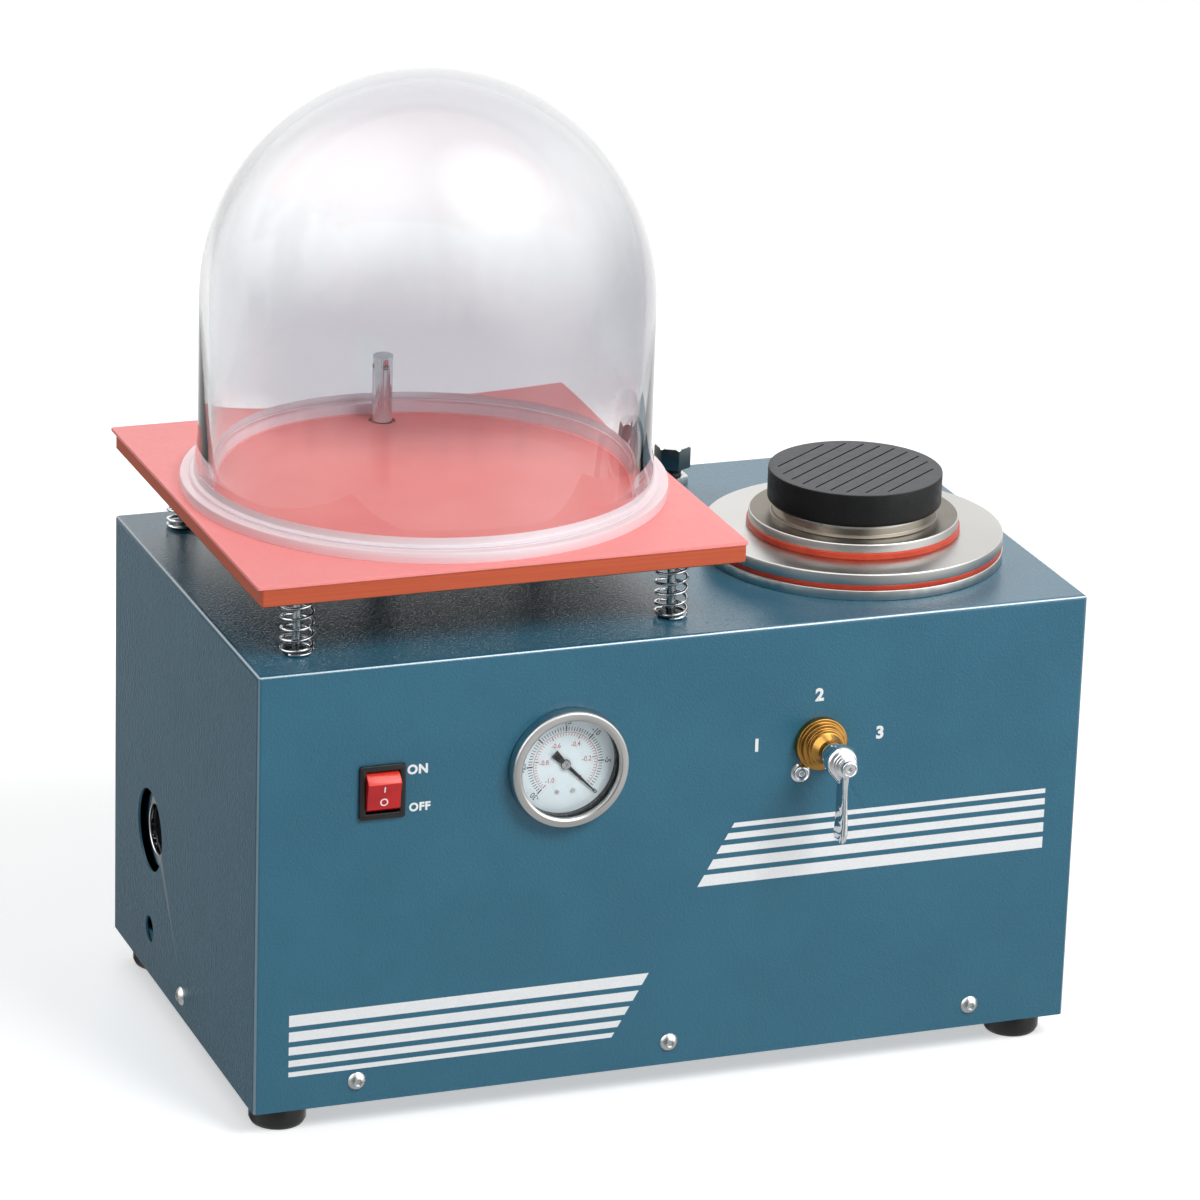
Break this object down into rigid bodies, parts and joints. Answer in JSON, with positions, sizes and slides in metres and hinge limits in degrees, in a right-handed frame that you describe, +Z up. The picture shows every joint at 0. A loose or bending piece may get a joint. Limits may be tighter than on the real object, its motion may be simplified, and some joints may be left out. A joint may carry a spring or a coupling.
{
  "type": "jewelry vacuum casting machine",
  "caption": "Bench vacuum machine for lost-wax casting: sprung investing table under a clear bell jar, casting station with gasketed plates, gauge, switch and three-way valve.",
  "frame": {"origin": "middle of the machine's outline, on the floor under its feet", "axes": "+Z up, -Y towards the front panel with the valve lever, +X towards the casting station"},
  "size_m": [0.5058, 0.3353, 0.574],
  "materials": {
    "paint": "hammered gloss",
    "zinc": "zinc plated",
    "chrome": "polished",
    "stainless": "turned",
    "black_rubber": "matt",
    "pink_silicone": "satin",
    "red_silicone": "satin",
    "laminate": "satin",
    "acrylic": "clear",
    "spring_steel": "bright",
    "hose": "satin",
    "brass": "turned",
    "gauge_black": "satin",
    "dial": "matt",
    "lens": "clear",
    "black_plastic": "moulded",
    "red_plastic": "translucent",
    "black_casting": "gloss",
    "grey_casting": "painted",
    "fan_plastic": "moulded",
    "steel": "ground"
  },
  "bodies": {
    "root": {"cover": "paint", "base_tray": "paint", "cover_screws": "zinc", "cover_nuts": "zinc", "foot_screws": "zinc", "ring_screws": "zinc", "pump_bolts": "zinc", "exhaust_fitting": "zinc", "panel_screw": "chrome", "sight_ring": "chrome", "base_ring": "stainless", "casting_pot": "stainless", "gauge_bezel": "stainless", "feet": "black_rubber", "stud_bushings": "black_rubber", "spring_front_left": "spring_steel", "spring_front_right": "spring_steel", "spring_back_left": "spring_steel", "spring_back_right": "spring_steel", "table_hose": "hose", "pump_hose": "hose", "table_line": "hose", "chamber_line": "hose", "gauge_line": "hose", "exhaust_hose": "hose", "valve_body": "brass", "valve_collar": "brass", "table_bulkhead": "brass", "gauge_case": "gauge_black", "gauge_dial": "dial", "gauge_glass": "lens", "sight_glass": "lens", "switch_body": "black_plastic", "power_inlet": "black_plastic", "oil_case": "black_casting", "motor_housing": "grey_casting", "pump_stage": "grey_casting", "pump_base": "grey_casting", "fan_cover": "fan_plastic", "drain_plug": "steel"},
    "table": {"table_plate": "laminate", "table_pad": "pink_silicone", "port_tube": "chrome", "table_studs": "zinc", "stud_nuts": "zinc"},
    "jar": {"bell_jar": "acrylic"},
    "lever": {"valve_ball": "steel", "valve_lever": "chrome", "valve_cap": "chrome"},
    "needle": {"gauge_pointer": "gauge_black"},
    "rocker": {"switch_rocker": "red_plastic"},
    "rotor": {"motor_rotor": "steel", "motor_fan": "fan_plastic"},
    "plug": {"exhaust_plug": "chrome"},
    "lower_gasket": {"large_gasket": "red_silicone"},
    "lower_plate": {"large_plate": "stainless"},
    "upper_gasket": {"small_gasket": "red_silicone"},
    "upper_plate": {"small_plate": "stainless"},
    "pad": {"flask_pad": "black_rubber"}
  },
  "joints": [
    {"name": "table_press", "type": "slide", "parent": "root", "child": "table", "axis": [0, 0, 1], "range_m": [-0.01, 0], "stiffness_N_per_m": 8000, "springref_m": 0.012, "deforming": ["spring_front_left", "spring_front_right", "spring_back_left", "spring_back_right", "table_hose"]},
    {"name": "jar_lift", "type": "slide", "parent": "table", "child": "jar", "axis": [0, 0, 1], "range_m": [0, 0.3]},
    {"name": "lever_turn", "type": "hinge", "parent": "root", "child": "lever", "pos_m": [0.0855, -0.12175, 0.206], "axis": [0, -1, 0], "continuous": true},
    {"name": "needle_turn", "type": "hinge", "parent": "root", "child": "needle", "pos_m": [-0.068, -0.12175, 0.208], "axis": [0, -1, 0], "range_deg": [0, 270], "stiffness_Nm_per_rad": 0.0002, "springref_deg": -22.92},
    {"name": "rocker_tilt", "type": "hinge", "parent": "root", "child": "rocker", "pos_m": [-0.1775, -0.11775, 0.2045], "axis": [-1, 0, 0], "range_deg": [0, 16]},
    {"name": "rotor_spin", "type": "hinge", "parent": "root", "child": "rotor", "pos_m": [-0.05, 0.08725, 0.111], "axis": [1, 0, 0], "continuous": true},
    {"name": "plug_lift", "type": "slide", "parent": "root", "child": "plug", "axis": [0, 0, 1], "range_m": [0, 0.04]},
    {"name": "lower_gasket_lift", "type": "slide", "parent": "root", "child": "lower_gasket", "axis": [0, 0, 1], "range_m": [0, 0.05]},
    {"name": "lower_plate_lift", "type": "slide", "parent": "lower_gasket", "child": "lower_plate", "axis": [0, 0, 1], "range_m": [0, 0.05]},
    {"name": "upper_gasket_lift", "type": "slide", "parent": "lower_plate", "child": "upper_gasket", "axis": [0, 0, 1], "range_m": [0, 0.04]},
    {"name": "upper_plate_lift", "type": "slide", "parent": "upper_gasket", "child": "upper_plate", "axis": [0, 0, 1], "range_m": [0, 0.04]},
    {"name": "pad_lift", "type": "slide", "parent": "upper_plate", "child": "pad", "axis": [0, 0, 1], "range_m": [0, 0.06]}
  ]
}
